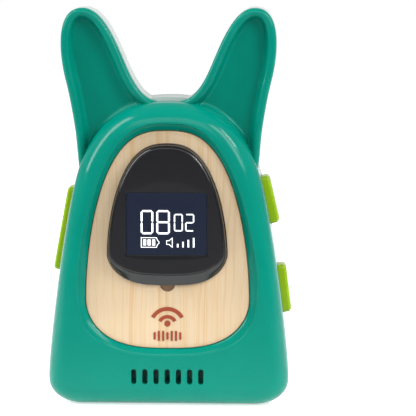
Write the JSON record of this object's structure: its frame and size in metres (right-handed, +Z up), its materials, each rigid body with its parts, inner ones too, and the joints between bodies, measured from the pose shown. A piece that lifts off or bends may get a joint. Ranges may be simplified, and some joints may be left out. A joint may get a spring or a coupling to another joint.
{
  "type": "toy walkie talkie",
  "caption": "Rounded toy walkie talkie with two ears, a wooden front plate with a small display, side push buttons, battery bay and sprung belt clip.",
  "frame": {"origin": "middle of the flat base that it stands on, on the left-right symmetry plane and the axis plane of the body's depth", "axes": "+Z up towards the ear tips, the display faces -Y, +X to the right of someone who looks at the display"},
  "size_m": [0.075, 0.0453, 0.121],
  "materials": {
    "green_casing": "glossy",
    "white_casing": "satin",
    "maple": "fine vertical grain, satin varnish",
    "mark_print": "thin print",
    "black_bezel": "glossy",
    "smoked_pane": "glossy smoked pane",
    "lcd": "dark display with lit characters",
    "backlight": "white diffuser",
    "dark_rubber": "striped contact rubber",
    "board_green": "solder mask",
    "tin_can": "tinned",
    "chip_black": "moulded epoxy",
    "capsule": "plain",
    "speaker_steel": "satin",
    "cone_paper": "coated paper",
    "magnet": "plated",
    "lime_buttons": "satin",
    "switch_black": "plain",
    "copper_wire": "lacquered",
    "cell_wrap": "printed wrap",
    "spring_steel": "plated wire",
    "contact_plate": "plated",
    "steel_pin": "turned",
    "zinc_screws": "zinc plated"
  },
  "bodies": {
    "casing": {"front_shell": "green_casing", "rear_shell": "white_casing", "wood_faceplate": "maple", "emblem": "mark_print", "screen_bezel": "black_bezel", "screen_window": "smoked_pane", "lcd_panel": "lcd", "lcd_backlight": "backlight", "lcd_connector": "dark_rubber", "main_board": "board_green", "radio_shield": "tin_can", "board_chips": "chip_black", "microphone": "capsule", "speaker_frame": "speaker_steel", "speaker_cone": "cone_paper", "speaker_magnet": "magnet", "tact_switches": "switch_black", "power_switch_body": "switch_black", "antenna_coil": "copper_wire", "left_cell": "cell_wrap", "middle_cell": "cell_wrap", "right_cell": "cell_wrap", "cell_springs": "spring_steel", "clip_spring": "spring_steel", "cell_plates": "contact_plate", "clip_bracket": "white_casing", "clip_pin": "steel_pin", "bracket_screws": "zinc_screws", "case_screws": "zinc_screws", "board_screws": "zinc_screws"},
    "upper_button": {"upper_button": "lime_buttons"},
    "lower_button": {"lower_button": "lime_buttons"},
    "talk_key": {"talk_key": "lime_buttons"},
    "power_knob": {"power_switch_knob": "lime_buttons"},
    "battery_door": {"battery_door": "white_casing", "door_screw": "zinc_screws"},
    "belt_clip": {"belt_clip": "white_casing"}
  },
  "joints": [
    {"name": "upper_button_press", "type": "slide", "parent": "casing", "child": "upper_button", "axis": [-0.9724, 0, -0.2334], "range_m": [0, 0.001], "stiffness_N_per_m": 600, "springref_m": -0.0006},
    {"name": "lower_button_press", "type": "slide", "parent": "casing", "child": "lower_button", "axis": [-0.991, 0, -0.134], "range_m": [0, 0.001], "stiffness_N_per_m": 600, "springref_m": -0.0006},
    {"name": "talk_key_press", "type": "slide", "parent": "casing", "child": "talk_key", "axis": [0.9833, 0, -0.1822], "range_m": [0, 0.001], "stiffness_N_per_m": 600, "springref_m": -0.0006},
    {"name": "power_slide", "type": "slide", "parent": "casing", "child": "power_knob", "axis": [0, 0, 1], "range_m": [0, 0.004]},
    {"name": "battery_door_hinge", "type": "hinge", "parent": "casing", "child": "battery_door", "pos_m": [0, 0.017, 0.0054], "axis": [-1, 0, 0], "range_deg": [0, 50]},
    {"name": "belt_clip_hinge", "type": "hinge", "parent": "casing", "child": "belt_clip", "pos_m": [0, 0.021, 0.081], "axis": [-1, 0, 0], "range_deg": [-20, 0], "stiffness_Nm_per_rad": 0.05, "springref_deg": 11.46, "deforming": ["clip_spring"]}
  ]
}
